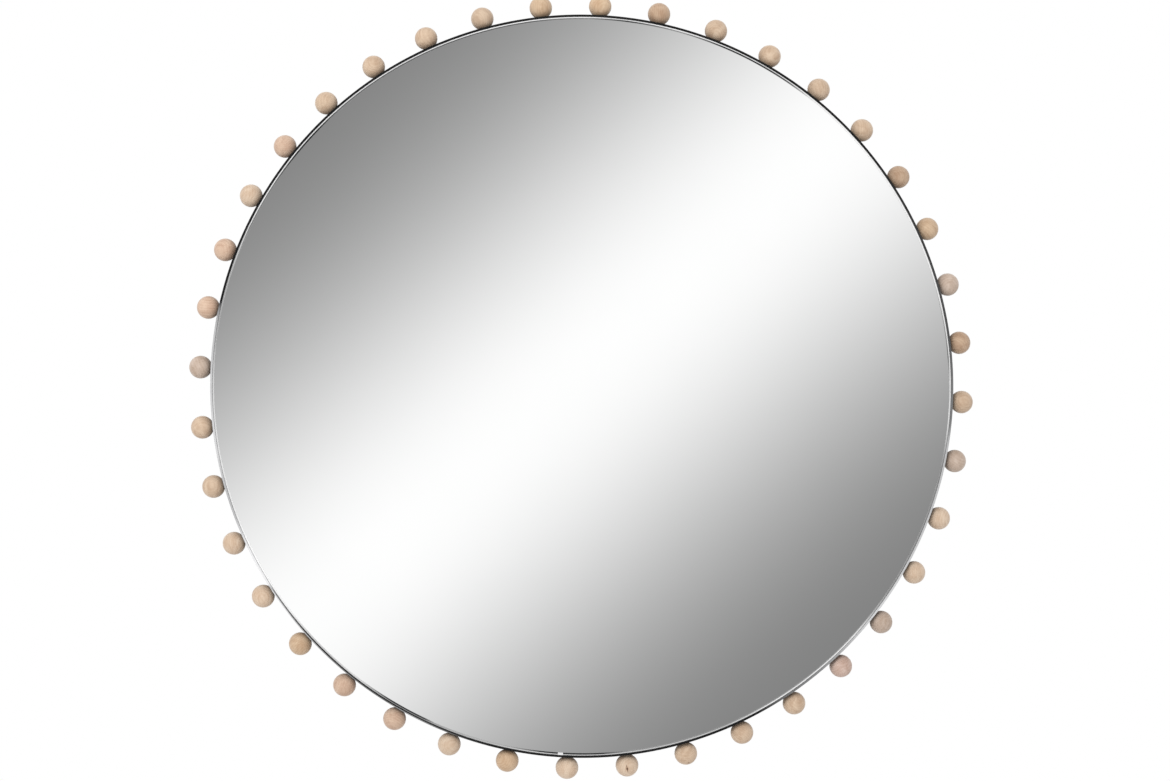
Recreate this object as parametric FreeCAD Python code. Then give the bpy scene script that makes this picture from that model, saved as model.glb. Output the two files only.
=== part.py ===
import FreeCAD, Part
import math
import os

# Round wall mirror: a thin steel hoop round the glass, ringed by turned wooden balls.
# Millimetres. +Z is up, the mirror faces -Y, X runs to the viewer's right.
# The origin is the hoop's centre, on the wall plane that the back of the hoop touches.

# Hoop: flat steel strip rolled on edge
hoop_outer_radius = 360.0
hoop_wall = 2.0
hoop_depth = 25.0
hoop_edge_round = 0.4

# Turned wooden balls on the outside of the hoop
ball_count = 40
ball_radius = 11.0
ball_seat_depth = 0.5
ball_seat_gap = 0.1
first_ball_angle = 6.5

# Pan-head screws that hold the balls, driven outwards from inside the hoop
ball_screw_radius = 1.5
ball_screw_bite = 11.0
ball_screw_head_radius = 2.8
ball_screw_head_height = 1.6
screw_seat_gap = 0.05
screw_hole_clearance = 0.2
pilot_clearance = 0.05
pilot_end_gap = 1.0
screw_head_round = 0.5
screw_point_length = 2.0
screw_tip_radius = 0.3
cross_slot_width = 0.6
cross_slot_length = 3.2
cross_slot_depth = 0.8

# Glazing channel: aluminium U-section that wraps the rim of the glass
channel_recess = 0.4
channel_wall = 0.7
channel_front_lip = 1.5
channel_bead_rise = 0.2
channel_rear_lip = 4.0
channel_hoop_gap = 0.2
channel_glass_gap = 0.1
channel_rim_gap = 0.2
channel_joint_angle = 266.3
channel_joint_gap = 1.0

# Clip that hides the joint between the channel's two ends
clip_length = 5.0
clip_wall = 0.3
clip_overhang = 0.8
clip_gap = 0.05

# Mirror glass
glass_thickness = 4.0
glass_edge_chamfer = 0.4

# Double-sided foam tape between the glass and the backing board
tape_thickness = 1.0
tape_width = 20.0
tape_count = 5
tape_pitch = 120.0
tape_end_inset = 25.0

# Backing board
board_thickness = 9.0
board_edge_gap = 8.0
board_edge_chamfer = 0.8

# Tabs welded inside the hoop and screwed to the back of the board
tab_count = 4
tab_start_pitches = 4.5
tab_width = 16.0
tab_wall = 1.5
tab_reach = 20.0
tab_rear_inset = 1.5
tab_weld_gap = 0.1
tab_hole_inset = 6.0

# Pan-head wood screws through the tabs and the hanger straps
board_screw_radius = 1.75
board_screw_bite = 6.5
board_screw_head_radius = 3.2
board_screw_head_height = 1.8

# D-ring hangers on the back of the board
hanger_edge_inset = 95.0
hanger_spread_angle = 42.0
strap_width = 12.0
strap_wall = 1.2
strap_corner_round = 4.0
strap_screw_gap = 2.3
strap_screw_pitch = 12.0
strap_end_margin = 8.0
ring_wire_radius = 1.5
ring_bore_gap = 0.05
ring_rest_gap = 0.3
ring_corner_radius = 2.5
ring_inner_width = 15.0
ring_inner_height = 14.0

# Rubber bumpers that keep the foot of the mirror off the wall
bumper_radius = 7.0
bumper_taper = 1.2
bumper_edge_round = 0.8
bumper_edge_inset = 24.0
bumper_spread_angle = 27.0

# One overrun serves all cuts
cut_overrun = 1.0

# Worked out from the sizes above
hoop_inner_radius = hoop_outer_radius - hoop_wall
hoop_front_y = -hoop_depth
ball_line_y = -hoop_depth / 2
ball_pitch_angle = 360.0 / ball_count
ball_centre_radius = hoop_outer_radius + ball_radius - ball_seat_depth
channel_outer_radius = hoop_inner_radius - channel_hoop_gap
channel_crest_y = hoop_front_y + channel_recess
channel_lip_back_y = channel_crest_y + channel_wall
glass_radius = channel_outer_radius - channel_wall - channel_rim_gap
glass_front_y = channel_lip_back_y + channel_glass_gap
glass_back_y = glass_front_y + glass_thickness
board_radius = hoop_inner_radius - board_edge_gap
board_front_y = glass_back_y + tape_thickness
board_back_y = board_front_y + board_thickness
ring_axis_y = board_back_y + strap_wall + ring_rest_gap + ring_wire_radius
ring_bore_radius = ring_wire_radius + ring_bore_gap
ring_half_width = ring_inner_width / 2 + ring_wire_radius
ring_arc_drop = ring_inner_height + ring_wire_radius - ring_inner_width / 2
ring_reach = ring_arc_drop + ring_half_width + ring_wire_radius
strap_first_screw = ring_reach + strap_screw_gap + board_screw_head_radius
strap_length = strap_first_screw + strap_screw_pitch + strap_end_margin
hanger_radius = board_radius - hanger_edge_inset
hanger_offset_x = hanger_radius * math.sin(math.radians(hanger_spread_angle))
hanger_axis_z = hanger_radius * math.cos(math.radians(hanger_spread_angle))

V = FreeCAD.Vector
ORIGIN = V(0, 0, 0)
TOWARDS_ROOM = V(0, -1, 0)
TOWARDS_WALL = V(0, 1, 0)


def outward(angle):
    """Unit vector from the hoop's centre at an angle in degrees, from +X towards +Z."""
    return V(math.cos(math.radians(angle)), 0, math.sin(math.radians(angle)))


def spun(section, start_angle, sweep):
    """Solid made by turning a section drawn in radius and y about the hoop's axis."""
    solid = section.revolve(ORIGIN, TOWARDS_ROOM, sweep)
    solid.rotate(ORIGIN, TOWARDS_ROOM, start_angle)
    return solid


def outline(points):
    """Flat section from corners given as radius and y."""
    corners = [V(radius, y, 0) for radius, y in points]
    return Part.Face(Part.makePolygon(corners + corners[:1]))


def disc(radius, back_y, front_y):
    """Round plate on the hoop's axis."""
    return Part.makeCylinder(radius, back_y - front_y, V(0, front_y, 0), TOWARDS_WALL)


def rounded(solid, radius, chosen):
    """Fillet the edges that a test picks."""
    return solid.makeFillet(radius, [edge for edge in solid.Edges if chosen(edge)])


def circle_edge(edge, radius):
    """True for a whole circle of the given radius."""
    return isinstance(edge.Curve, Part.Circle) and abs(edge.Curve.Radius - radius) < radius / 1e5


def pan_head_screw(shank_radius, length, head_radius, head_height):
    """Screw along +Z: the underside of its head is at the origin and the point is up."""
    point = Part.makeCone(shank_radius, screw_tip_radius, screw_point_length,
                          V(0, 0, length - screw_point_length))
    shank = Part.makeCylinder(shank_radius, length - screw_point_length)
    head = Part.makeCylinder(head_radius, head_height, V(0, 0, -head_height))
    head = rounded(head, screw_head_round, lambda edge: edge.BoundBox.ZMax < -head_height / 2)
    screw = head.fuse([shank, point])
    for turn in (0, 90):
        slot = Part.makeBox(cross_slot_length, cross_slot_width, cross_slot_depth + cut_overrun,
                            V(-cross_slot_length / 2, -cross_slot_width / 2,
                              -head_height - cut_overrun))
        slot.rotate(ORIGIN, V(0, 0, 1), turn)
        screw = screw.cut(slot)
    return screw.removeSplitter()


def placed(solid, base, direction):
    """Copy of a solid drawn along +Z, moved so that it starts at base along a direction."""
    copy = solid.copy()
    copy.Placement = FreeCAD.Placement(base, FreeCAD.Rotation(V(0, 0, 1), direction))
    return copy


def ball_angles():
    """Angles of the balls, counter-clockwise from the viewer's right."""
    return [first_ball_angle + number * ball_pitch_angle for number in range(ball_count)]


def tab_angles():
    """Tabs evenly round the hoop, the first one a few ball pitches past the first ball."""
    first = first_ball_angle + tab_start_pitches * ball_pitch_angle
    return [first + number * 360 / tab_count for number in range(tab_count)]


def at_ball_line(radius, angle):
    """Point on the line of balls at a radius from the hoop's axis."""
    return outward(angle) * radius + V(0, ball_line_y, 0)


def tab_screw_place(angle):
    """Where a tab's screw enters the back of the tab."""
    radius = hoop_inner_radius - tab_weld_gap - tab_reach + tab_hole_inset
    return outward(angle) * radius + V(0, board_back_y, 0)


def hanger_screw_places(side):
    """The two screws of one hanger, on the back of the board."""
    first = hanger_axis_z - strap_first_screw
    return [V(side * hanger_offset_x, board_back_y, first - step * strap_screw_pitch)
            for step in range(2)]


def hoop_frame():
    """Rolled strip with eased edges and a hole for each ball's screw."""
    section = outline([(hoop_inner_radius, 0), (hoop_outer_radius, 0),
                       (hoop_outer_radius, hoop_front_y), (hoop_inner_radius, hoop_front_y)])
    strip = rounded(spun(section, 0, 360), hoop_edge_round,
                    lambda edge: circle_edge(edge, hoop_inner_radius)
                    or circle_edge(edge, hoop_outer_radius))
    holes = [Part.makeCylinder(ball_screw_radius + screw_hole_clearance,
                               hoop_wall + 2 * cut_overrun,
                               at_ball_line(hoop_inner_radius - cut_overrun, angle),
                               outward(angle))
             for angle in ball_angles()]
    return strip.cut(holes)


def wooden_ball(angle):
    """Ball with its seat hollowed to the hoop and a blind pilot hole."""
    centre = at_ball_line(ball_centre_radius, angle)
    ball = placed(Part.makeSphere(ball_radius), centre, outward(angle))
    ball = ball.cut(disc(hoop_outer_radius + ball_seat_gap, 0, hoop_front_y))
    depth = ball_screw_bite + pilot_end_gap + cut_overrun
    start = at_ball_line(hoop_outer_radius - cut_overrun, angle)
    pilot = Part.makeCylinder(ball_screw_radius + pilot_clearance, depth, start, outward(angle))
    return ball.cut(pilot)


def ball_screws():
    """One screw a ball, its head against the inside of the hoop."""
    length = screw_seat_gap + hoop_wall + ball_screw_bite
    screw = pan_head_screw(ball_screw_radius, length, ball_screw_head_radius,
                           ball_screw_head_height)
    return Part.makeCompound([placed(screw, at_ball_line(hoop_inner_radius - screw_seat_gap, angle),
                                     outward(angle)) for angle in ball_angles()])


def glazing_channel():
    """U-section with a low round bead in front, open at its joint near the foot."""
    web = channel_outer_radius - channel_wall
    lip = channel_outer_radius - channel_front_lip
    rear_lip = channel_outer_radius - channel_rear_lip
    shoulder = channel_crest_y + channel_bead_rise
    rear_inner = glass_back_y + channel_glass_gap
    rear_outer = rear_inner + channel_wall
    crest = V(channel_outer_radius - channel_front_lip / 2, channel_crest_y, 0)
    bead = Part.Arc(V(lip, shoulder, 0), crest, V(channel_outer_radius, shoulder, 0)).toShape()
    corners = [V(channel_outer_radius, shoulder, 0), V(channel_outer_radius, rear_outer, 0),
               V(rear_lip, rear_outer, 0), V(rear_lip, rear_inner, 0), V(web, rear_inner, 0),
               V(web, channel_lip_back_y, 0), V(lip, channel_lip_back_y, 0), V(lip, shoulder, 0)]
    section = Part.Face(Part.Wire([bead] + Part.makePolygon(corners).Edges))
    opening = math.degrees(channel_joint_gap / channel_outer_radius)
    return spun(section, channel_joint_angle + opening / 2, 360 - opening)


def channel_joint_clip():
    """Small angle that bridges the joint on the front bead."""
    outer = channel_outer_radius
    inner = channel_outer_radius - channel_front_lip - clip_overhang
    leg = inner + clip_wall
    top = channel_crest_y - clip_gap
    foot = glass_front_y - clip_gap
    section = outline([(outer, top), (outer, top - clip_wall), (inner, top - clip_wall),
                       (inner, foot), (leg, foot), (leg, top)])
    sweep = math.degrees(clip_length / channel_outer_radius)
    return spun(section, channel_joint_angle - sweep / 2, sweep)


def mirror_glass():
    """Silvered disc with both rims ground off."""
    pane = disc(glass_radius, glass_back_y, glass_front_y)
    rims = [edge for edge in pane.Edges if circle_edge(edge, glass_radius)]
    return pane.makeChamfer(glass_edge_chamfer, rims)


def mounting_tape():
    """Upright strips, each as long as the board allows at its place."""
    strips = []
    for number in range(tape_count):
        x = (number - (tape_count - 1) / 2) * tape_pitch
        far_x = abs(x) + tape_width / 2
        half = math.sqrt((board_radius - tape_end_inset) ** 2 - far_x ** 2)
        strips.append(Part.makeBox(tape_width, tape_thickness, 2 * half,
                                   V(x - tape_width / 2, glass_back_y, -half)))
    return Part.makeCompound(strips)


def backing_board():
    """Round board with pilot holes for the tabs and the hangers."""
    board = disc(board_radius, board_back_y, board_front_y)
    rims = [edge for edge in board.Edges if circle_edge(edge, board_radius)]
    board = board.makeChamfer(board_edge_chamfer, rims)
    places = [tab_screw_place(angle) for angle in tab_angles()]
    for side in (-1, 1):
        places += hanger_screw_places(side)
    depth = board_screw_bite + pilot_end_gap
    pilots = [Part.makeCylinder(board_screw_radius + pilot_clearance, depth + cut_overrun,
                                place + V(0, cut_overrun, 0), TOWARDS_ROOM)
              for place in places]
    return board.cut(pilots)


def fixing_tab(angle):
    """Angle bracket: one leg on the hoop's inner wall, the other on the back of the board."""
    outer = hoop_inner_radius - tab_weld_gap
    section = outline([(outer, -tab_rear_inset), (outer, board_back_y),
                       (outer - tab_reach, board_back_y),
                       (outer - tab_reach, board_back_y + tab_wall),
                       (outer - tab_wall, board_back_y + tab_wall),
                       (outer - tab_wall, -tab_rear_inset)])
    sweep = math.degrees(tab_width / outer)
    tab = spun(section, angle - sweep / 2, sweep)
    hole = Part.makeCylinder(board_screw_radius + screw_hole_clearance,
                             tab_wall + 2 * cut_overrun,
                             tab_screw_place(angle) - V(0, cut_overrun, 0), TOWARDS_WALL)
    return tab.cut(hole)


def board_screws(places, wall):
    """Screws into the board through a plate of the given wall."""
    length = wall + screw_seat_gap + board_screw_bite
    screw = pan_head_screw(board_screw_radius, length, board_screw_head_radius,
                           board_screw_head_height)
    return Part.makeCompound([placed(screw, place + V(0, wall + screw_seat_gap, 0), TOWARDS_ROOM)
                              for place in places])


def hanger_strap(side):
    """Strap curled round the ring's straight bar, with two screw holes."""
    x = side * hanger_offset_x
    plate = Part.makeBox(strap_width, strap_wall, strap_length,
                         V(x - strap_width / 2, board_back_y, hanger_axis_z - strap_length))
    foot_z = hanger_axis_z - strap_length
    plate = rounded(plate, strap_corner_round,
                    lambda edge: edge.BoundBox.ZMax - foot_z < strap_wall / 2
                    and edge.BoundBox.XLength < strap_wall / 2)
    eye_start = V(x - strap_width / 2, ring_axis_y, hanger_axis_z)
    eye = Part.makeCylinder(ring_bore_radius + strap_wall, strap_width, eye_start, V(1, 0, 0))
    bore = Part.makeCylinder(ring_bore_radius, strap_width + 2 * cut_overrun,
                             eye_start - V(cut_overrun, 0, 0), V(1, 0, 0))
    holes = [Part.makeCylinder(board_screw_radius + screw_hole_clearance,
                               strap_wall + 2 * cut_overrun,
                               place - V(0, cut_overrun, 0), TOWARDS_WALL)
             for place in hanger_screw_places(side)]
    return plate.fuse(eye).cut([bore] + holes).removeSplitter()


def swapped(point):
    """The same point on the other side of the ring's middle."""
    return V(-point.x, point.y, point.z)


def wire_run(start, end):
    """Straight stretch of the ring's wire."""
    return Part.makeCylinder(ring_wire_radius, (end - start).Length, start, end - start)


def wire_bend(centre, radius, start_angle, sweep):
    """Bent stretch of the ring's wire, in the plane of the ring."""
    start = centre + outward(start_angle) * radius
    heading = outward(start_angle + 90)
    section = Part.Face(Part.Wire(Part.makeCircle(ring_wire_radius, start, heading)))
    return section.revolve(centre, TOWARDS_ROOM, sweep)


def hanger_ring(side):
    """D-shaped ring, hanging down from the bar in the strap's eye."""
    axis = V(side * hanger_offset_x, ring_axis_y, hanger_axis_z)
    bar_end = V(ring_half_width - ring_corner_radius, 0, 0)
    side_top = V(ring_half_width, 0, -ring_corner_radius)
    side_foot = V(ring_half_width, 0, -ring_arc_drop)
    corner = bar_end - V(0, 0, ring_corner_radius)
    arc_centre = V(0, 0, -ring_arc_drop)
    pieces = [wire_run(axis + bar_end, axis + swapped(bar_end)),
              wire_run(axis + side_top, axis + side_foot),
              wire_run(axis + swapped(side_top), axis + swapped(side_foot)),
              wire_bend(axis + corner, ring_corner_radius, 0, 90),
              wire_bend(axis + swapped(corner), ring_corner_radius, 90, 90),
              wire_bend(axis + arc_centre, ring_half_width, 180, 180)]
    return pieces[0].fuse(pieces[1:]).removeSplitter()


def wall_bumper(side):
    """Tapered rubber foot whose end lies on the wall plane."""
    angle = 270 + side * bumper_spread_angle
    place = outward(angle) * (board_radius - bumper_edge_inset) + V(0, board_back_y, 0)
    foot = Part.makeCone(bumper_radius, bumper_radius - bumper_taper, -board_back_y)
    foot = rounded(foot, bumper_edge_round,
                   lambda edge: circle_edge(edge, bumper_radius - bumper_taper))
    return placed(foot, place, TOWARDS_WALL)


def all_pieces():
    """Every piece under its node's name."""
    pieces = {
        "hoop_frame": hoop_frame(),
        "glazing_channel": glazing_channel(),
        "channel_joint_clip": channel_joint_clip(),
        "mirror_glass": mirror_glass(),
        "mounting_tape": mounting_tape(),
        "backing_board": backing_board(),
        "bead_screws": ball_screws(),
    }
    for number, angle in enumerate(ball_angles()):
        pieces[f"bead_{number + 1:02d}"] = wooden_ball(angle)
    for number, angle in enumerate(tab_angles()):
        pieces[f"fixing_tab_{number + 1}"] = fixing_tab(angle)
    pieces["tab_screws"] = board_screws([tab_screw_place(angle) for angle in tab_angles()],
                                        tab_wall)
    strap_places = []
    for name, side in (("left", -1), ("right", 1)):
        pieces[f"hanger_strap_{name}"] = hanger_strap(side)
        pieces[f"hanger_ring_{name}"] = hanger_ring(side)
        strap_places += hanger_screw_places(side)
    pieces["hanger_screws"] = board_screws(strap_places, strap_wall)
    pieces["wall_bumpers"] = Part.makeCompound([wall_bumper(-1), wall_bumper(1)])
    return pieces


os.makedirs("parts", exist_ok=True)
for name, shape in all_pieces().items():
    shape.exportStep(f"parts/{name}.step")
    box = shape.BoundBox
    print(f"{name}: {len(shape.Solids)} solids, valid {shape.isValid()}, volume {shape.Volume:.1f}, "
          f"x {box.XMin:.2f} {box.XMax:.2f}, y {box.YMin:.2f} {box.YMax:.2f}, "
          f"z {box.ZMin:.2f} {box.ZMax:.2f}")
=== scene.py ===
import math
import random

import bpy
from mathutils import Euler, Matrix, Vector


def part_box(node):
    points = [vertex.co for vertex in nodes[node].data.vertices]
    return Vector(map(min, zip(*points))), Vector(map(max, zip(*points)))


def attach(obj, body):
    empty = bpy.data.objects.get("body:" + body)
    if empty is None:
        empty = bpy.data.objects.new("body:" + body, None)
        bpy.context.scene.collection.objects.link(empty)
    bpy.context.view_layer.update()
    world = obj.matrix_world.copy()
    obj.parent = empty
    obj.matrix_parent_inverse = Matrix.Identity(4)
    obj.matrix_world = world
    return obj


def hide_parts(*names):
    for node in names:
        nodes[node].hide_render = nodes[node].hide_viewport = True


# Round wall mirror in a black hoop ringed by turned wooden balls.
# Metres. +Z is up, the mirror faces -Y, X runs to the viewer's right.
# Angles round the hoop run counter-clockwise from the viewer's right.
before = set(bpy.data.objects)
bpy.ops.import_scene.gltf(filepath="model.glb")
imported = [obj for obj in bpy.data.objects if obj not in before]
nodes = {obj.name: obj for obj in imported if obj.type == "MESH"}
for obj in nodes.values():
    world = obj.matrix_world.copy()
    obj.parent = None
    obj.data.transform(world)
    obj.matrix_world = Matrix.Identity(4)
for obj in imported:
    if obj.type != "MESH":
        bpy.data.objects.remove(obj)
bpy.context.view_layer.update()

MM = 0.001
FULL_TURN = 2 * math.pi

# Sizes read from the frame
HOOP_LOW, HOOP_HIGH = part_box("hoop_frame")
GLASS_LOW, GLASS_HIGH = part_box("mirror_glass")
BOARD_LOW, BOARD_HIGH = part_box("backing_board")
CHANNEL_LOW, CHANNEL_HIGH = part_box("glazing_channel")
HOOP_RADIUS = (HOOP_HIGH.x - HOOP_LOW.x) / 2
CHANNEL_RADIUS = (CHANNEL_HIGH.x - CHANNEL_LOW.x) / 2
BOARD_RADIUS = (BOARD_HIGH.x - BOARD_LOW.x) / 2

# Hoop
HOOP_WALL = 2 * MM
HOOP_EDGE_ROUND = 0.4 * MM
HOOP_INSIDE = HOOP_RADIUS - HOOP_WALL
HOOP_MIDDLE = HOOP_RADIUS - HOOP_WALL / 2
SCREW_HOLE_RADIUS = 1.7 * MM
SCREW_HOLE_SIDES = 24

# Glazing channel. Its lip shows in front of the glass
CHANNEL_WALL = 0.7 * MM
CHANNEL_LIP = 1.5 * MM
CHANNEL_BEAD_RISE = 0.2 * MM
CHANNEL_REAR_LIP = 4 * MM
CHANNEL_GLASS_GAP = 0.1 * MM
CHANNEL_JOINT = math.radians(266.3)
CHANNEL_JOINT_GAP = 1 * MM
LIP_EDGE = CHANNEL_RADIUS - CHANNEL_LIP
LIP_SHINE = 0.90  # how bright a white lip renders

# Spun sections
RIM_STEPS = 720
CORNER_STEPS = 5
BEAD_STEPS = 8
MERGE_WITHIN = 0.001 * MM
COPY_MERGE_WITHIN = 0.01 * MM
SOFT_BELOW = math.radians(35)

# Balls
BALL_COUNT = 40
BALL_PITCH = math.radians(360 / BALL_COUNT)
FIRST_BALL = math.radians(6.5)
BALL_SEAT = 0.5 * MM
BALL_SEED = 11

# Welds that hold the tabs. Each one's middle stands off the hoop's inner face
TAB_COUNT = 4
WELD_SIDES, WELD_RINGS = 28, 18
WELD_LENGTH = 6.4 * MM
WELD_WIDTH = 2.2 * MM
WELD_HEIGHT = 1.5 * MM
WELD_RIPPLE_DEPTH = 0.25 * MM
WELD_RIPPLE_SIZE = 0.9 * MM
WELD_FROM_TAB_MIDDLE = 8.6 * MM
WELD_STAND_OFF = 0.25 * MM
WELD_BACK_SHIFT = 0.3 * MM

# The camera stands a little left of the middle and a little below it, and is turned back to it
CAMERA_PLACE = (-0.137, -2.70, -0.119)
CAMERA_TURN_RIGHT = 2.946
CAMERA_TILT_UP = 2.412
PHOTO_WIDTH_PX = 1170
FOCAL_LENGTH_PX = 2771.4
SENSOR_WIDTH_MM = 36

# Light
WHITE = (1, 1, 1, 1)
AMBIENT_FRONT = 0.73
AMBIENT_BEHIND = 1.0
SHINE_BEHIND = 0.95
BEHIND_FROM = -0.2  # the y of a direction at which the light from behind sets in
BEHIND_TO = 0.5  # and at which it is full
KEY_POWER = 40
KEY_PLACE = (-1.15, -2.75, 1.25)
KEY_SIZE = 1.8

# Soft bands of light and shade that the mirror reflects, one every 2.2 of its radii as the
# camera sees them
BAND_SLOPE = math.radians(48)
BAND_RADII = 7.75  # mirror radii to a unit of direction
BAND_SHIFT = 0.026  # in mirror radii
BAND_PHASE = 0.9 * math.pi  # to a mirror radius
BAND_MIDDLE = 193.5  # screen value
BAND_SWING = 62.0  # screen value to either side of it

# Floor
FLOOR_RADIUS = 6.0
FLOOR_SIDES = 96
FLOOR_HEIGHT = -1.25
FLOOR_ALBEDO = 0.80
FLOOR_LIFT = 0.62


class Field:
    """A socket of a node tree. Arithmetic on it adds Math nodes."""

    def __init__(self, tree, socket=None):
        self.tree = tree
        self.socket = socket

    def make(self, kind, settings=None, inputs=None, out=0):
        """Add a node: its settings first, then the values or the links of its inputs."""
        node = self.tree.nodes.new(kind)
        for name, value in (settings or {}).items():
            if name == "stops":
                fill_ramp(node.color_ramp, value)
            else:
                setattr(node, name, value)
        for key, value in (inputs or {}).items():
            if isinstance(value, Field):
                self.tree.links.new(value.socket, node.inputs[key])
            else:
                node.inputs[key].default_value = value
        return Field(self.tree, node.outputs[out] if len(node.outputs) else None)

    def output(self, name):
        """Another output of the same node."""
        return Field(self.tree, self.socket.node.outputs[name])

    def math(self, operation, *values):
        return self.make("ShaderNodeMath", {"operation": operation}, dict(enumerate(values)))

    def __add__(self, other):
        return self.math("ADD", self, other)

    __radd__ = __add__

    def __sub__(self, other):
        return self.math("SUBTRACT", self, other)

    def __rsub__(self, other):
        return self.math("SUBTRACT", other, self)

    def __mul__(self, other):
        return self.math("MULTIPLY", self, other)

    __rmul__ = __mul__

    def __truediv__(self, other):
        return self.math("DIVIDE", self, other)

    def __pow__(self, other):
        return self.math("POWER", self, other)

    def __lt__(self, other):
        return self.math("LESS_THAN", self, other)

    def __gt__(self, other):
        return self.math("GREATER_THAN", self, other)


def fill_ramp(ramp, stops):
    """Give a colour ramp its (place, grey) stops."""
    while len(ramp.elements) < len(stops):
        ramp.elements.new(0.5)
    for element, (place, grey) in zip(ramp.elements, stops):
        element.position = place
        element.color = (grey, grey, grey, 1)


def light_of(value):
    """Linear light of a screen value between 11 and 255, given as a number or as a field."""
    return ((value / 255 + 0.055) / 1.055) ** 2.4


def linear(*tone):
    """Linear colour of a tone in screen values."""
    return tuple(light_of(value) for value in tone)


def remapped(value, low, high, new_low=0.0, new_high=1.0):
    """A value moved from one range to another, 0 to 1 unless given, and held there."""
    return value.make("ShaderNodeMapRange", {"clamp": True},
                      {"Value": value, "From Min": low, "From Max": high,
                       "To Min": new_low, "To Max": new_high})


def mixed(factor, first, second):
    """Colour between two colours, each a field or three numbers."""
    first, second = ((*tone, 1) if isinstance(tone, tuple) else tone for tone in (first, second))
    return factor.make("ShaderNodeMix", {"data_type": "RGBA"},
                       {0: factor, 6: first, 7: second}, out=2)


def tinted(value, low, high, first, second):
    """Colour that goes from the first to the second as a value goes from low to high."""
    return mixed(remapped(value, low, high), first, second)


def turned(place, turn, shift=(0, 0, 0)):
    """Coordinates from a shifted origin, along turned axes."""
    return place.make("ShaderNodeMapping", {"vector_type": "TEXTURE"},
                      {"Vector": place, "Location": shift, "Rotation": turn})


def vector_math(operation, place, other, out=0):
    return place.make("ShaderNodeVectorMath", {"operation": operation},
                      {0: place, 1: other}, out)


def noise(place, scale, detail=3.0, roughness=0.55, distortion=0.0):
    """Cloudy values about 0.5. Three scales draw the clouds out, one scale to each axis."""
    if isinstance(scale, tuple):
        place, scale = vector_math("MULTIPLY", place, scale), 1.0
    return place.make("ShaderNodeTexNoise", {},
                      {"Vector": place, "Scale": scale, "Detail": detail,
                       "Roughness": roughness, "Distortion": distortion})


def bump(height, strength, distance):
    return height.make("ShaderNodeBump", {},
                       {"Height": height, "Strength": strength, "Distance": distance})


def empty_tree(owner):
    """Start of the emptied node tree of a material or a world."""
    owner.use_nodes = True
    owner.node_tree.nodes.clear()
    return Field(owner.node_tree)


def new_material(name):
    """A material with an empty tree, and the object coordinates to start from."""
    material = bpy.data.materials.new(name)
    return material, empty_tree(material).make("ShaderNodeTexCoord", out="Object")


def surface(place, **inputs):
    """Principled surface with the named inputs, wired to the material's output."""
    named = {key.replace("_", " "): value for key, value in inputs.items()}
    shader = place.make("ShaderNodeBsdfPrincipled", {}, named)
    place.make("ShaderNodeOutputMaterial", {}, {"Surface": shader})


def parts_of(place):
    """The x, y and z of a place."""
    split = place.make("ShaderNodeSeparateXYZ", {}, {0: place})
    return [split.output(axis) for axis in "XYZ"]


def radius_of(first, second):
    """How far a point lies from an axis, by its two coordinates across it."""
    return (first * first + second * second) ** 0.5


def round_place(place):
    """Angle round the hoop's axis in radians, with the radius and y in metres."""
    x, y, z = parts_of(place)
    return place.math("ARCTAN2", z, x), radius_of(x, z), y


def unrolled(angle, radius, y):
    """Coordinates that run along the hoop, across its depth and out from its axis."""
    return angle.make("ShaderNodeCombineXYZ", {}, {0: angle * HOOP_RADIUS, 1: y, 2: radius})


def by_angle(angle, stops):
    """A value that changes round the hoop, from stops of (degrees, value)."""
    turn = angle.math("FRACT", angle / FULL_TURN + 1)
    places = [(degrees / 360, float(value)) for degrees, value in stops]
    return angle.make("ShaderNodeValToRGB", {"stops": places}, {"Fac": turn})


def hoop_place(radius, angle, y):
    """The place at a radius and an angle round the hoop."""
    return Vector((radius * math.cos(angle), y, radius * math.sin(angle)))


# Wood of the balls

# Light and dark tone of each kind of wood, in screen values
WOOD_TONES = {
    "plain": ((217, 193, 168), (193, 165, 139)),
    "grey": ((206, 187, 172), (183, 161, 143)),
    "pink": ((216, 191, 178), (193, 163, 147)),
    "orange": ((220, 192, 169), (196, 163, 140)),
    "straw": ((218, 191, 161), (194, 162, 131)),
    "bright": ((226, 204, 181), (204, 176, 150)),
    "dusky": ((202, 175, 149), (177, 146, 120)),
}

# The balls of each kind. All the others are plain
WOOD_BALLS = {
    "grey": (2, 20, 36, 39),
    "pink": (35,),
    "orange": (16, 18, 19, 26, 27),
    "straw": (3, 10, 11, 25, 29),
    "bright": (17, 23, 24, 28, 30, 31, 37, 38),
    "dusky": (1, 4, 9),
}
BRIGHTEST_WOOD = 250

# Least and most that the dice give each ball: lightness, shift of the grain, how far off the
# growth rings' middle lies in metres, and the rings' width in millimetres
WOOD_GAINS = (0.995, 1.035)
GRAIN_SHIFTS = (-9, 9)
RING_MIDDLES = (0.012, 0.03)
RING_WIDTHS = (1.7, 2.8)
RING_WANDER = 5.5

# The knot on the front of one ball and the speck on the next: millimetres across and up from
# the ball's middle and size, then strength of the spot, of its halo and of the check across it
WOOD_MARKS = {
    31: ((-0.5, -2.6, 1.5), (1.0, 1.0, 1.0)),
    32: ((2.3, -8.6, 1.1), (0.45, 0.5, 0.0)),
}
SPOT_SLIMNESS = 2.2
SPOT_RAGGED = 0.9 * MM
CHECK_LEAN = 0.24
CHECK_RAGGED = 0.7 * MM
CHECK_SIDES = (0.16 * MM, 0.42 * MM)
CHECK_ENDS = (2.8 * MM, 4.8 * MM)

PORE_BROWN = linear(150, 112, 80)
HALO_BROWN = linear(176, 132, 98)
SPOT_BROWN = linear(78, 46, 28)
CHECK_BROWN = linear(92, 58, 38)


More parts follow.
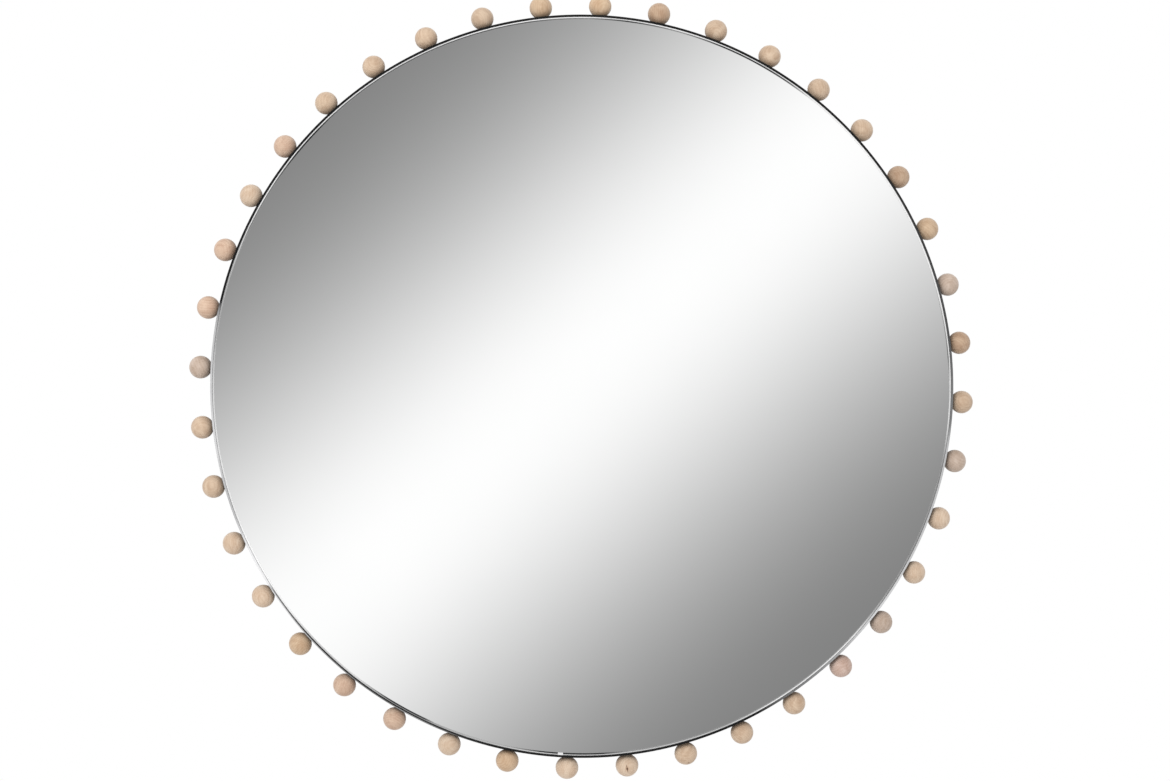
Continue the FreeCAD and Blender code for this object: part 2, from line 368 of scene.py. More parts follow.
def ball_centre(number):
    """Centre of a ball, from its node's box and its turn round the hoop."""
    low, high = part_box(f"bead_{number:02d}")
    middle = (low + high) / 2
    radius = HOOP_RADIUS + (high.y - low.y) / 2 - BALL_SEAT
    return hoop_place(radius, FIRST_BALL + (number - 1) * BALL_PITCH, middle.y)


def wood_kind(number):
    """Name of a ball's kind of wood."""
    return next((kind for kind, balls in WOOD_BALLS.items() if number in balls), "plain")


def wood_grain(place, centre, dice):
    """Fibres, open pores and overall tone of a ball, each ball cut its own way."""
    turn = tuple(dice.uniform(0, FULL_TURN) for _ in range(3))
    local = turned(place, turn, centre)
    own = vector_math("ADD", local, tuple(dice.uniform(*GRAIN_SHIFTS) for _ in range(3)))
    y, z = parts_of(local)[1:]
    ring_middle = dice.uniform(*RING_MIDDLES)
    ring_width = dice.uniform(*RING_WIDTHS) * MM
    wander = noise(own, (60, 160, 160), detail=2.0) * RING_WANDER
    rings = place.math("SINE", radius_of(y - ring_middle, z) * (FULL_TURN / ring_width) + wander)
    fibre = noise(own, (200, 1900, 1900))
    mottle = noise(own, (55, 150, 150), detail=2.0, roughness=0.5, distortion=0.6)
    pores = remapped(noise(own, (700, 5200, 5200), detail=2.0, roughness=0.5), 0.60, 0.72)
    tone = remapped(fibre * 0.30 + mottle * 0.70 + rings * 0.045, 0.36, 0.66)
    return fibre, pores, tone


def turned_wood(number, dice):
    """Pale close-grained wood, turned and sanded, with its own lie of grain on each ball."""
    material, place = new_material(f"turned_wood_{number:02d}")
    fibre, pores, tone = wood_grain(place, ball_centre(number), dice)
    gain = dice.uniform(*WOOD_GAINS)
    light, dark = (linear(*(min(BRIGHTEST_WOOD, part * gain) for part in screen))
                   for screen in WOOD_TONES[wood_kind(number)])
    colour = mixed(pores * 0.12, mixed(tone, light, dark), PORE_BROWN)
    height = fibre * 0.5 - pores * 0.5
    if number in WOOD_MARKS:
        colour, height = marked(number, place, colour, height)
    surface(place, Base_Color=colour, Roughness=remapped(fibre, 0.3, 0.7, 0.52, 0.66),
            Specular_IOR_Level=0.3, Sheen_Weight=0.4, Sheen_Roughness=0.4,
            Normal=bump(height, strength=0.22, distance=0.1 * MM))
    return material


def marked(number, place, colour, height):
    """A dark spot with a halo and a leaning check across it, on the front of a ball."""
    centre = ball_centre(number)
    (across, up, size), (spot_share, halo_share, check_share) = WOOD_MARKS[number]
    x, y, z = parts_of(place)
    side = x - (centre.x + across * MM)
    rise = z - (centre.z + up * MM)
    front = y < centre.y
    ragged = noise(place, 1900.0, detail=2.0) - 0.5
    reach = (side * side * SPOT_SLIMNESS + rise * rise) ** 0.5 + ragged * SPOT_RAGGED
    spot = remapped(reach, size * 0.45 * MM, size * MM, 1.0, 0.0) * front * spot_share
    halo = remapped(reach, size * 0.8 * MM, size * 2.6 * MM, 0.42, 0.0) * front * halo_share
    off_check = place.math("ABSOLUTE", side + rise * CHECK_LEAN + ragged * CHECK_RAGGED)
    along_check = place.math("ABSOLUTE", rise)
    check = (remapped(off_check, *CHECK_SIDES, 1.0, 0.0)
             * remapped(along_check, *CHECK_ENDS, 0.85, 0.0) * front * check_share)
    for share, brown in ((halo, HALO_BROWN), (spot, SPOT_BROWN), (check, CHECK_BROWN)):
        colour = mixed(share, colour, brown)
    return colour, height - spot * 0.8 - check * 1.4


# Paint, metal, glass, board and rubber

# Share of painted highlight on the hoop's front edge, a light grey where the edge reflects the
# studio light, by degrees round the hoop
HIGHLIGHT_ON_EDGE = ((0, 0.21), (7, 0.09), (36, 0.0), (168, 0.0), (169, 0.42), (172, 0.59),
               (180, 0.69), (190, 0.80), (196, 0.60), (201, 0.58), (206.5, 1.0), (212.6, 1.0),
               (213.4, 0.3), (222, 0.0), (298, 0.0), (303, 0.18), (309, 0.27), (318, 0.66),
               (322, 0.82), (330, 0.69), (351, 0.60), (354, 0.22))

# The same for the outer half of the edge alone
HIGHLIGHT_ON_OUTSIDE = ((0, 0.0), (212.6, 0.0), (213.4, 0.9), (217, 0.85), (221, 0.6), (231, 0.22),
                  (238, 0.22), (243, 0.4), (251, 0.05), (256, 0.0))

# Strength of the painted shade line along the inside of the channel's lip, on the lip and on the
# glass
SHADE_LINE_STRENGTH = ((0, 0.0), (4, 0.8), (8, 0.6), (15, 0.2), (20, 0.0), (51.5, 0.0), (55.5, 0.9),
               (61, 1.0), (68, 1.0), (75, 0.55), (83, 1.0), (90, 0.6), (98, 0.85), (132, 0.8),
               (136, 1.0), (142, 1.0), (148, 0.7), (155, 0.65), (160, 0.0), (231, 0.0),
               (234, 0.15), (238, 1.0), (244.6, 1.0), (245.4, 0.15), (258, 0.3), (263, 1.0),
               (273, 1.0), (277, 0.5), (315, 0.5), (324, 0.0))

# How much of the lip the painted shade line takes, in millimetres
BORDER_ON_LIP = ((0, 0.45), (52, 0.45), (58, 0.7), (66, 0.7), (72, 0.5), (236, 0.5), (238, 0.9),
                 (244.6, 0.9), (246, 0.45), (262, 0.45), (266, 0.65), (272, 0.65), (278, 0.45))

# How far it reaches on the glass, in millimetres
BORDER_ON_GLASS = ((0, 0.6), (60, 0.75), (90, 0.7), (130, 0.7), (138, 1.1), (150, 0.8),
                   (170, 0.5), (235, 0.3), (240, 0.5), (262, 0.7), (268, 0.9), (278, 0.6))

# Grey of the channel's lip in screen values: painted reflection and shade, bright where the lip
# reflects the studio light, darker elsewhere
LIP_PAINTED_LIGHT = ((0, 224), (10, 236), (44, 243), (60, 224), (70, 240), (78, 236), (84, 212),
            (90, 236), (106, 236), (116, 216), (150, 228), (164, 168), (173, 168), (180, 206),
            (207, 239), (218, 238), (223, 196), (228, 200), (232, 216), (238, 150), (244, 150),
            (250, 178), (262, 206), (279, 202), (293, 196), (300, 240), (317, 240), (322, 172),
            (326, 144), (348, 146), (354, 215))

# Where the lip has less metal, so that it renders whiter: part of its painted highlight
LIP_HIGHLIGHT_LESS_METAL = ((0, 0.0), (199, 0.0), (204, 1.0), (212, 1.0), (215, 0.0))

# How deep the tone of a face reaches round its edge, and half the width of a soft border
FACE_DEPTH = 0.25 * MM
LIP_FACE_DEPTH = 0.05 * MM
BORDER_BLUR = 0.1 * MM
BORDER_RAGGED = 0.2 * MM
HIGHLIGHT_BLUR = 0.15 * MM

# How far behind the hoop's front the painted highlight starts to end and ends, and how far its
# ragged noise moves it
HIGHLIGHT_FROM = 0.30 * MM
HIGHLIGHT_TO = 0.45 * MM
HIGHLIGHT_RAGGED_DEEP = 0.25 * MM
HIGHLIGHT_RAGGED_ALONG = 0.008

# Tones in linear light
PAINT_BLACK, PAINT_DULLED = (0.0042, 0.0042, 0.0045), (0.0095, 0.0093, 0.009)
PAINT_DUST = (0.06, 0.058, 0.055)
# Light grey of the painted highlight on the hoop's front edge
HIGHLIGHT_LIGHT, HIGHLIGHT_DARK = linear(240, 240, 241), linear(232, 232, 233)
ALUMINIUM_BRIGHT, ALUMINIUM_DULL = (0.84, 0.84, 0.845), (0.76, 0.76, 0.765)
LIP_SHADE = (0.03, 0.03, 0.032)
SILVER_CLEAR, SILVER_CLOUDED = (0.992, 0.994, 0.993), (0.982, 0.986, 0.984)
SILVER_SPECK = (0.80, 0.80, 0.79)
# Dark of the painted shade line on the glass
SHADE_LINE_DARK = (0.022, 0.024, 0.024)
BACK_PAINT_DARK, BACK_PAINT_LIGHT = (0.17, 0.18, 0.18), (0.25, 0.26, 0.26)
GLASS_EDGE_DARK, GLASS_EDGE_LIGHT = (0.20, 0.32, 0.27), (0.34, 0.46, 0.40)
BOARD_PALE, BOARD_BROWN = linear(199, 167, 127), linear(152, 117, 81)
BOARD_FLECK, BOARD_EDGE = linear(102, 74, 50), linear(128, 96, 66)
FOAM_WALL, FOAM_CELL = (0.55, 0.55, 0.53), (0.78, 0.78, 0.76)
RUBBER_BLACK, RUBBER_BLOOM = (0.018, 0.018, 0.019), (0.045, 0.044, 0.043)
PLATING_RUBBED = (0.42, 0.41, 0.39)
WELD_PAINTED, WELD_BARE = (0.014, 0.014, 0.014), (0.10, 0.085, 0.07)

# Plated steel: bright and dull tone, least and most roughness, streaks to each axis, metallic
PLATED_STEEL = {
    "zinc_screw": ((0.72, 0.70, 0.62), (0.50, 0.49, 0.44), 0.24, 0.42, (500, 500, 2600), 1.0),
    "zinc_plate": ((0.62, 0.63, 0.64), (0.42, 0.43, 0.44), 0.28, 0.46, (3200, 260, 260), 1.0),
    "ring_wire": ((0.74, 0.74, 0.74), (0.56, 0.56, 0.57), 0.14, 0.28, (900, 900, 900), 1.0),
    "bright_clip": ((0.97, 0.97, 0.97), (0.92, 0.92, 0.93), 0.30, 0.42, (900, 900, 900), 0.3),
}


def black_paint(name, with_painted_highlight):
    """Satin black stove paint with a faint orange peel, dulled a little along the strip."""
    material, place = new_material(name)
    angle, radius, y = round_place(place)
    along = unrolled(angle, radius, y)
    peel = noise(place, 1500.0, roughness=0.5)
    drift = noise(along, (9, 60, 60), detail=4.0, roughness=0.6)
    dust = remapped(noise(place, 5200.0, detail=2.0, roughness=0.7), 0.66, 0.78)
    colour = mixed(dust * 0.20, tinted(drift, 0.35, 0.7, PAINT_BLACK, PAINT_DULLED), PAINT_DUST)
    rough = remapped(drift * 0.6 + peel * 0.4, 0.35, 0.65, 0.24, 0.36)
    # On the hoop, a painted highlight: light grey on the front edge where it reflects the studio
    # light
    if with_painted_highlight:
        highlight_ragged = noise(along, (400, 900, 900), roughness=0.6) - 0.5
        highlight_grey = tinted(drift + highlight_ragged * 0.4, 0.3, 0.7, HIGHLIGHT_LIGHT, HIGHLIGHT_DARK)
        share = painted_highlight_share(angle, radius, y, highlight_ragged)
        colour = mixed(share, colour, highlight_grey)
        rough = rough * (1 - share) + share * 0.45
    surface(place, Base_Color=colour, Roughness=rough, Specular_IOR_Level=0.25,
            Normal=bump(peel, strength=0.12, distance=0.06 * MM))
    return material


def painted_highlight_share(angle, radius, y, highlight_ragged):
    """How much painted highlight the hoop's front edge shows, more on its outer half."""
    outer_half = remapped(radius, HOOP_MIDDLE - HIGHLIGHT_BLUR, HOOP_MIDDLE + HIGHLIGHT_BLUR)
    share = angle.math("MAXIMUM", by_angle(angle + highlight_ragged * HIGHLIGHT_RAGGED_ALONG, HIGHLIGHT_ON_EDGE),
                       by_angle(angle, HIGHLIGHT_ON_OUTSIDE) * outer_half)
    return share * remapped(y + highlight_ragged * HIGHLIGHT_RAGGED_DEEP, HOOP_LOW.y + HIGHLIGHT_FROM,
                            HOOP_LOW.y + HIGHLIGHT_TO, 1.0, 0.0)


def satin_aluminium():
    """Drawn aluminium: fine lines along the channel, its lip with painted reflection and a painted
    shade line.
    """
    material, place = new_material("satin_aluminium")
    angle, radius, y = round_place(place)
    along = unrolled(angle, radius, y)
    lines = noise(along, (40, 5000, 5000), roughness=0.6)
    cloud = noise(along, (14, 400, 400))
    metal = tinted(lines * 0.4 + cloud * 0.6, 0.35, 0.65, ALUMINIUM_BRIGHT, ALUMINIUM_DULL)
    lip = y < CHANNEL_LOW.y + CHANNEL_WALL + LIP_FACE_DEPTH
    # Painted reflection on the lip: lighter where it reflects the studio light, darker elsewhere
    lip_painted_light = by_angle(angle, [(at, light_of(tone) / LIP_SHINE) for at, tone in LIP_PAINTED_LIGHT])
    # Painted shade line along the lip's inner edge
    shade_edge = by_angle(angle, BORDER_ON_LIP) * MM + LIP_EDGE
    shaded = remapped(radius - shade_edge, -BORDER_BLUR, BORDER_BLUR, 1.0, 0.0) * lip
    colour = mixed(shaded * by_angle(angle, SHADE_LINE_STRENGTH), mixed(lip, metal, lip_painted_light), LIP_SHADE)
    surface(place, Base_Color=colour,
            Metallic=0.8 - lip * (0.6 + by_angle(angle, LIP_HIGHLIGHT_LESS_METAL) * 0.2),
            Roughness=remapped(lines, 0.3, 0.7, 0.22, 0.30),
            Normal=bump(lines, strength=0.03, distance=0.02 * MM))
    return material


def silver_but_shade_line(angle, radius, y):
    """How far the glass shows its silver: all of it, but for a ragged painted shade line along the
    channel's lip.
    """
    ragged = noise(unrolled(angle, radius, y), (25, 300, 300)) - 0.5
    inner = radius + by_angle(angle, BORDER_ON_GLASS) * MM + ragged * BORDER_RAGGED
    shade_ring = remapped(inner, LIP_EDGE - BORDER_BLUR, LIP_EDGE + BORDER_BLUR)
    return 1 - shade_ring * by_angle(angle, SHADE_LINE_STRENGTH)


def silvered_glass():
    """Silvered face with a painted shade line along the channel's lip, green-grey edge and painted
    back.
    """
    material, place = new_material("silvered_glass")
    angle, radius, y = round_place(place)
    front = y < GLASS_LOW.y + FACE_DEPTH
    back = y > GLASS_HIGH.y - FACE_DEPTH
    silver = silver_but_shade_line(angle, radius, y) * front
    cloud = noise(place, 7.0, detail=4.0, roughness=0.6)
    speck = remapped(noise(place, 900.0, roughness=0.7), 0.74, 0.80)
    coat = noise(place, 60.0, detail=5.0, roughness=0.65)
    mirror = mixed(speck * 0.05, tinted(cloud, 0.35, 0.65, SILVER_CLEAR, SILVER_CLOUDED),
                   SILVER_SPECK)
    back_paint = tinted(coat, 0.3, 0.7, BACK_PAINT_DARK, BACK_PAINT_LIGHT)
    edge = tinted(noise(place, 2500.0), 0.3, 0.7, GLASS_EDGE_DARK, GLASS_EDGE_LIGHT)
    # Colour where there is no silver: green-grey edge, painted back and the painted shade line in
    # front
    bare = mixed(front, mixed(back, edge, back_paint), SHADE_LINE_DARK)
    rough = remapped(coat, 0.3, 0.7, 0.35, 0.5) * (1 - front) + front * 0.004
    surface(place, Base_Color=mixed(silver, bare, mirror), Metallic=silver, Roughness=rough,
            Normal=bump(coat * (1 - front), strength=0.2, distance=0.1 * MM))
    return material


def fibreboard():
    """Brown hardboard: felted fibres, darker flecks and fuzzy sawn edges."""
    material, place = new_material("fibreboard")
    radius = round_place(place)[1]
    felt = noise(place, 260.0, detail=6.0, roughness=0.68, distortion=0.8)
    long_fibre, cross_fibre = (
        noise(turned(place, (0, lean, 0)), scale, roughness=0.6, distortion=1.2)
        for lean, scale in ((0.5, (900, 900, 150)), (-0.4, (160, 900, 900))))
    cloud = noise(place, 9.0, detail=4.0)
    fleck = remapped(noise(place, 620.0, detail=2.0, roughness=0.6), 0.62, 0.70)
    tone = felt * 0.30 + long_fibre * 0.30 + cross_fibre * 0.30 + cloud * 0.20
    worn = remapped(radius, BOARD_RADIUS - 4 * MM, BOARD_RADIUS - 0.5 * MM, 0.0, 0.5)
    colour = tinted(tone, 0.42, 0.66, BOARD_PALE, BOARD_BROWN)
    colour = mixed(fleck * 0.55, colour, BOARD_FLECK)
    colour = mixed(worn * remapped(felt, 0.4, 0.6, 0.3, 1.0), colour, BOARD_EDGE)
    height = long_fibre * 0.5 + cross_fibre * 0.5 + felt * 0.4
    surface(place, Base_Color=colour, Roughness=remapped(felt, 0.3, 0.7, 0.72, 0.9),
            Specular_IOR_Level=0.25, Normal=bump(height, strength=0.4, distance=0.15 * MM))
    return material


def foam_tape():
    """White closed-cell foam."""
    material, place = new_material("foam_tape")
    cells = place.make("ShaderNodeTexVoronoi", {"feature": "DISTANCE_TO_EDGE"},
                       {"Vector": place, "Scale": 2200.0})
    tone = remapped(cells, 0.0, 0.25)
    surface(place, Base_Color=mixed(tone, FOAM_WALL, FOAM_CELL),
            Roughness=remapped(cells, 0.0, 0.3, 0.95, 0.8),
            Normal=bump(tone, strength=0.3, distance=0.1 * MM))
    return material


def plated_steel(name):
    """Plated steel: clouded plating, fine streaks along one way and rubbed spots."""
    bright, dull, least_rough, most_rough, streaks, metallic = PLATED_STEEL[name]
    material, place = new_material(name)
    cloud = noise(place, 130.0, detail=4.0, roughness=0.6)
    streak = noise(place, streaks, detail=4.0, roughness=0.6)
    rubbed = remapped(noise(place, 1100.0, roughness=0.6), 0.60, 0.72)
    plating = tinted(cloud * 0.55 + streak * 0.45, 0.36, 0.64, bright, dull)
    surface(place, Base_Color=mixed(rubbed * 0.25, plating, PLATING_RUBBED), Metallic=metallic,
            Roughness=remapped(streak * 0.5 + cloud * 0.5, 0.3, 0.7, least_rough, most_rough),
            Normal=bump(streak * 0.6 + cloud * 0.4, strength=0.12, distance=0.06 * MM))
    return material


def bumper_rubber():
    """Dull black rubber with moulding bloom."""
    material, place = new_material("bumper_rubber")
    bloom = noise(place, 420.0, detail=5.0, roughness=0.6)
    grain = noise(place, 3800.0, detail=2.0)
    surface(place, Base_Color=tinted(bloom, 0.35, 0.7, RUBBER_BLACK, RUBBER_BLOOM),
            Roughness=remapped(grain, 0.3, 0.7, 0.6, 0.82), Specular_IOR_Level=0.4,
            Normal=bump(grain, strength=0.25, distance=0.08 * MM))
    return material


def weld_metal():
    """Weld bead under the black paint: heat-tinted ripples showing through at the crests."""
    material, place = new_material("weld_metal")
    heat = noise(place, 300.0, detail=4.0, roughness=0.6)
    ripple = noise(place, 1500.0, detail=2.0, roughness=0.5)
    bare = remapped(heat * 0.6 + ripple * 0.4, 0.50, 0.66)
    surface(place, Base_Color=mixed(bare, WELD_PAINTED, WELD_BARE),
            Metallic=remapped(bare, 0.4, 1.0, 0.0, 0.8),
            Roughness=remapped(ripple, 0.3, 0.7, 0.34, 0.55),
            Normal=bump(ripple, strength=0.3, distance=0.1 * MM))
    return material


def dress(material, *names):
    """Give CAD nodes their material."""
    for name in names:
        for material_slot in nodes[name].material_slots:
            material_slot.material = material


def dress_all():
    """Dress every CAD node that shows. The balls go in turn, because each one rolls the dice."""
    dice = random.Random(BALL_SEED)
    for number in range(1, BALL_COUNT + 1):
        dress(turned_wood(number, dice), f"bead_{number:02d}")
    dress(black_paint("black_paint", False),
          *(f"fixing_tab_{number}" for number in range(1, TAB_COUNT + 1)))
    dress(plated_steel("zinc_screw"), "bead_screws", "tab_screws", "hanger_screws")
    dress(plated_steel("zinc_plate"), "hanger_strap_left", "hanger_strap_right")
    dress(plated_steel("ring_wire"), "hanger_ring_left", "hanger_ring_right")
    dress(plated_steel("bright_clip"), "channel_joint_clip")
    dress(silvered_glass(), "mirror_glass")
    dress(foam_tape(), "mounting_tape")
    dress(fibreboard(), "backing_board")
    dress(bumper_rubber(), "wall_bumpers")


# Rolled strip and glazing channel

def deselect():
    bpy.ops.object.select_all(action="DESELECT")


def select_only(first, *others):
    """Select these pieces and no others, the first one active."""
    deselect()
    for piece in (first, *others):
        piece.select_set(True)
    bpy.context.view_layer.objects.active = first


def open_mesh():
    """Open the active piece's mesh with all of it selected."""
    bpy.ops.object.mode_set(mode="EDIT")
    bpy.ops.mesh.select_all(action="SELECT")


def close_mesh(merge_within, open_ends=False):
    """Merge the doubles, fill open ends, turn the faces outwards and leave the mesh."""
    bpy.ops.mesh.select_all(action="SELECT")
    bpy.ops.mesh.remove_doubles(threshold=merge_within)
    if open_ends:
        bpy.ops.mesh.select_all(action="DESELECT")
        bpy.ops.mesh.select_non_manifold()
        bpy.ops.mesh.fill_holes(sides=0)
        bpy.ops.mesh.select_all(action="SELECT")
    bpy.ops.mesh.normals_make_consistent(inside=False)
    bpy.ops.object.mode_set(mode="OBJECT")


def spin(steps, angle, copies=False):
    """Spin what is selected about the hoop's axis, as one skin or as copies."""
    bpy.ops.mesh.spin(steps=steps, angle=angle, dupli=copies, center=(0, 0, 0), axis=(0, 1, 0))


def turn_round_hoop(piece, angle):
    """Put a piece's place in its mesh and turn it by an angle round the hoop."""
    bpy.ops.object.transform_apply(location=True, rotation=True, scale=True)
    piece.rotation_euler = Euler((0, -angle, 0))
    bpy.ops.object.transform_apply(location=False, rotation=True, scale=False)


def modify(piece, kind, **settings):
    """Give the active piece a modifier and apply it."""
    modifier = piece.modifiers.new(kind.lower(), kind)
    for name, value in settings.items():
        setattr(modifier, name, value)
    bpy.ops.object.modifier_apply(modifier=modifier.name)


def soften(piece):
    """Smooth shading that keeps the flats flat."""
    bpy.ops.object.shade_smooth_by_angle(angle=SOFT_BELOW)
    modify(piece, "WEIGHTED_NORMAL", keep_sharp=True)


def finish_piece(piece, name, material, stands_for=None):
    """Name, dress and fasten a new piece that belongs to the mirror's body."""
    piece.name = name
    piece.data.name = name
    piece.data.materials.clear()
    piece.data.materials.append(material)
    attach(piece, "mirror")
    if stands_for:
        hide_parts(stands_for)


def arc(centre_radius, centre_y, size, start, sweep, steps=CORNER_STEPS):
    """Points of an arc in the section, as (radius, y), from a start and a sweep in degrees."""
    turns = [math.radians(start + sweep * step / steps) for step in range(steps + 1)]
    return [(centre_radius + size * math.cos(turn), centre_y + size * math.sin(turn))
            for turn in turns]


def drawn_section(points):
    """Closed line through (radius, y) points, drawn corner by corner from the first one."""
    deselect()
    bpy.ops.mesh.primitive_plane_add(size=MM, location=(*points[0], 0))
    open_mesh()
    bpy.ops.mesh.merge(type="CENTER")
    for here, there in zip(points, points[1:]):
        step = (there[0] - here[0], there[1] - here[1], 0)
        bpy.ops.mesh.extrude_vertices_move(TRANSFORM_OT_translate={"value": step})
    bpy.ops.mesh.select_all(action="SELECT")
    bpy.ops.mesh.edge_face_add()
    bpy.ops.mesh.delete(type="ONLY_FACE")
    return bpy.context.object


def spun_section(points, start, sweep):
    """Section spun about the hoop's axis from a start angle, its open ends filled."""
    piece = drawn_section(points)
    bpy.ops.mesh.select_all(action="SELECT")
    spin(RIM_STEPS, sweep)
    close_mesh(MERGE_WITHIN, open_ends=sweep < FULL_TURN)
    turn_round_hoop(piece, start)
    return piece


def screw_hole_cutter():
    """One peg through the strip for each ball's screw, spun round the hoop."""
    deselect()
    bpy.ops.mesh.primitive_cylinder_add(
        vertices=SCREW_HOLE_SIDES, radius=SCREW_HOLE_RADIUS, depth=3 * HOOP_WALL,
        rotation=(0, math.pi / 2, 0), location=(HOOP_MIDDLE, (HOOP_LOW.y + HOOP_HIGH.y) / 2, 0))
    cutter = bpy.context.object
    open_mesh()
    spin(BALL_COUNT, FULL_TURN, copies=True)
    close_mesh(COPY_MERGE_WITHIN)
    turn_round_hoop(cutter, FIRST_BALL)
    return cutter


def rolled_hoop():
    """Flat strip on edge, eased along its four edges, drilled for the balls' screws."""
    ease = HOOP_EDGE_ROUND
    inner, outer = HOOP_INSIDE + ease, HOOP_RADIUS - ease
    front, back = HOOP_LOW.y + ease, HOOP_HIGH.y - ease
    section = (arc(outer, back, ease, 0, 90) + arc(inner, back, ease, 90, 90)
               + arc(inner, front, ease, 180, 90) + arc(outer, front, ease, 270, 90))
    hoop = spun_section(section, 0, FULL_TURN)
    cutter = screw_hole_cutter()
    select_only(hoop)
    modify(hoop, "BOOLEAN", operation="DIFFERENCE", solver="EXACT", object=cutter)
    soften(hoop)
    bpy.data.objects.remove(cutter)
    # The hoop's paint carries the painted highlight on its front edge
    finish_piece(hoop, "rolled_hoop", black_paint("hoop_paint_painted_highlight", True), "hoop_frame")


def channel_ring():
    """U-section with a low round bead in front, open at its joint."""
    outer, web = CHANNEL_RADIUS, CHANNEL_RADIUS - CHANNEL_WALL
    rear_lip = outer - CHANNEL_REAR_LIP
    crest, half = CHANNEL_LOW.y, CHANNEL_LIP / 2
    lip_back = crest + CHANNEL_WALL
    rear_outer, rear_inner = CHANNEL_HIGH.y, GLASS_HIGH.y + CHANNEL_GLASS_GAP
    bead_radius = (half * half + CHANNEL_BEAD_RISE ** 2) / (2 * CHANNEL_BEAD_RISE)
    spread = math.degrees(math.asin(half / bead_radius))
    section = arc(outer - half, crest + bead_radius, bead_radius, 270 - spread, 2 * spread,
                  BEAD_STEPS)
    section += [(outer, rear_outer), (rear_lip, rear_outer), (rear_lip, rear_inner),
                (web, rear_inner), (web, lip_back), (LIP_EDGE, lip_back)]
    opening = CHANNEL_JOINT_GAP / outer
    channel = spun_section(section, CHANNEL_JOINT + opening / 2, FULL_TURN - opening)
    soften(channel)
    finish_piece(channel, "channel_ring", satin_aluminium(), "glazing_channel")


# Welds

def weld_bead(ripple, place, angle):
    """One rippled bead, its length across the strip."""
    deselect()
    bpy.ops.mesh.primitive_uv_sphere_add(segments=WELD_SIDES, ring_count=WELD_RINGS, radius=0.5)
    bead = bpy.context.object
    bead.scale = (WELD_HEIGHT, WELD_LENGTH, WELD_WIDTH)
    bpy.ops.object.transform_apply(location=False, rotation=False, scale=True)
    modify(bead, "DISPLACE", texture=ripple, texture_coords="LOCAL", strength=WELD_RIPPLE_DEPTH)
    bead.rotation_euler = Euler((0, -angle, 0))
    bead.location = place
    bpy.ops.object.transform_apply(location=True, rotation=True, scale=False)
    bpy.ops.object.shade_smooth()
    return bead


def tab_welds():
    """A bead along each side of every tab, joined as one piece."""
    ripple = bpy.data.textures.new("weld_ripple", "CLOUDS")
    ripple.noise_scale = WELD_RIPPLE_SIZE
    half_sweep = WELD_FROM_TAB_MIDDLE / HOOP_INSIDE
    beads = []
    for number in range(1, TAB_COUNT + 1):
        low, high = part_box(f"fixing_tab_{number}")
        middle = (low + high) / 2
        for side in (-1, 1):
            angle = math.atan2(middle.z, middle.x) + side * half_sweep
            place = hoop_place(HOOP_INSIDE - WELD_STAND_OFF, angle, middle.y + WELD_BACK_SHIFT)
            beads.append(weld_bead(ripple, place, angle))
    select_only(*beads)
    bpy.ops.object.join()
    finish_piece(bpy.context.object, "tab_welds", weld_metal())


# Camera, light and stage

def make_camera():
    data = bpy.data.cameras.new("camera")
    data.sensor_width = SENSOR_WIDTH_MM
    data.lens = FOCAL_LENGTH_PX / PHOTO_WIDTH_PX * SENSOR_WIDTH_MM
    camera = bpy.data.objects.new("camera", data)
    bpy.context.scene.collection.objects.link(camera)
    camera.location = CAMERA_PLACE
    camera.rotation_euler = (math.radians(90 + CAMERA_TILT_UP), 0, -math.radians(CAMERA_TURN_RIGHT))
    bpy.context.scene.camera = camera


def make_key_lamp():
    """Soft square lamp turned to the mirror's middle."""
    data = bpy.data.lights.new("key_lamp", "AREA")
    data.energy = KEY_POWER
    data.size = KEY_SIZE
    lamp = bpy.data.objects.new("key_lamp", data)
    bpy.context.scene.collection.objects.link(lamp)
    lamp.location = KEY_PLACE
    lamp.rotation_euler = (-Vector(KEY_PLACE)).to_track_quat("-Z", "Y").to_euler()
    lamp.visible_camera = False
    lamp.visible_glossy = False


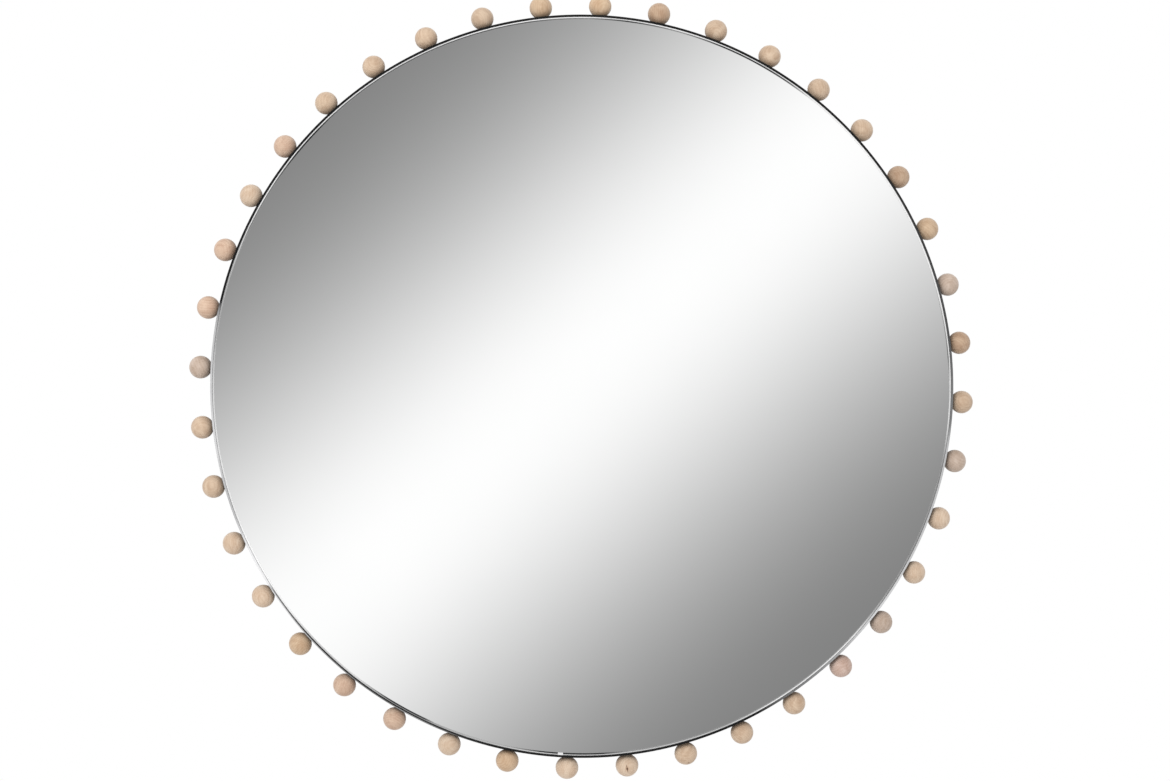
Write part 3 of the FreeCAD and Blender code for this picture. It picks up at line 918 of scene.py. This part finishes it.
def band_light(direction):
    """Brightness of the studio that the mirror shows, by direction."""
    along = (math.cos(BAND_SLOPE), 0, -math.sin(BAND_SLOPE))
    lean = vector_math("DOT_PRODUCT", direction, along, out="Value")
    wave = direction.math("COSINE", (lean * BAND_RADII + BAND_SHIFT) * BAND_PHASE)
    return light_of(wave * BAND_SWING + BAND_MIDDLE)


def make_world():
    """White to the camera, even light for surfaces, soft bands for what shines."""
    world = bpy.data.worlds.new("studio")
    bpy.context.scene.world = world
    start = empty_tree(world)
    ray = start.make("ShaderNodeLightPath")
    glossy = ray.output("Is Glossy Ray")
    white = start.math("MAXIMUM", ray.output("Is Camera Ray"), ray.output("Is Transmission Ray"))
    direction = start.make("ShaderNodeTexCoord", out="Generated")
    behind = remapped(parts_of(direction)[1], BEHIND_FROM, BEHIND_TO)
    shine = band_light(direction) * (1 - behind) + behind * SHINE_BEHIND
    even = AMBIENT_FRONT + behind * (AMBIENT_BEHIND - AMBIENT_FRONT)
    strength = white + (1 - white) * (glossy * shine + (1 - glossy) * even)
    light = start.make("ShaderNodeBackground", {}, {"Color": WHITE, "Strength": strength})
    start.make("ShaderNodeOutputWorld", {}, {"Surface": light})


def make_floor():
    """Pale floor well below the mirror. It meets the white background and keeps a shadow."""
    deselect()
    bpy.ops.mesh.primitive_circle_add(vertices=FLOOR_SIDES, radius=FLOOR_RADIUS, fill_type="NGON",
                                      location=(0, 0, FLOOR_HEIGHT))
    floor = bpy.context.object
    floor.name = "floor"
    material, place = new_material("pale_floor")
    seen = place.make("ShaderNodeLightPath", out="Is Camera Ray")
    pale, scuffed = (tuple(FLOOR_ALBEDO * part for part in parts)
                     for parts in ((1, 1, 1), (0.99, 0.99, 0.985)))
    matte = place.make("ShaderNodeBsdfDiffuse", {},
                       {"Color": mixed(noise(place, 40.0), pale, scuffed)})
    lift = place.make("ShaderNodeEmission", {}, {"Color": WHITE, "Strength": seen * FLOOR_LIFT})
    both = place.make("ShaderNodeAddShader", {}, {0: matte, 1: lift})
    place.make("ShaderNodeOutputMaterial", {}, {"Surface": both})
    floor.data.materials.append(material)
    floor.visible_glossy = False


make_camera()
dress_all()
rolled_hoop()
channel_ring()
tab_welds()
make_world()
make_floor()
make_key_lamp()
bpy.context.scene.view_settings.view_transform = "Standard"
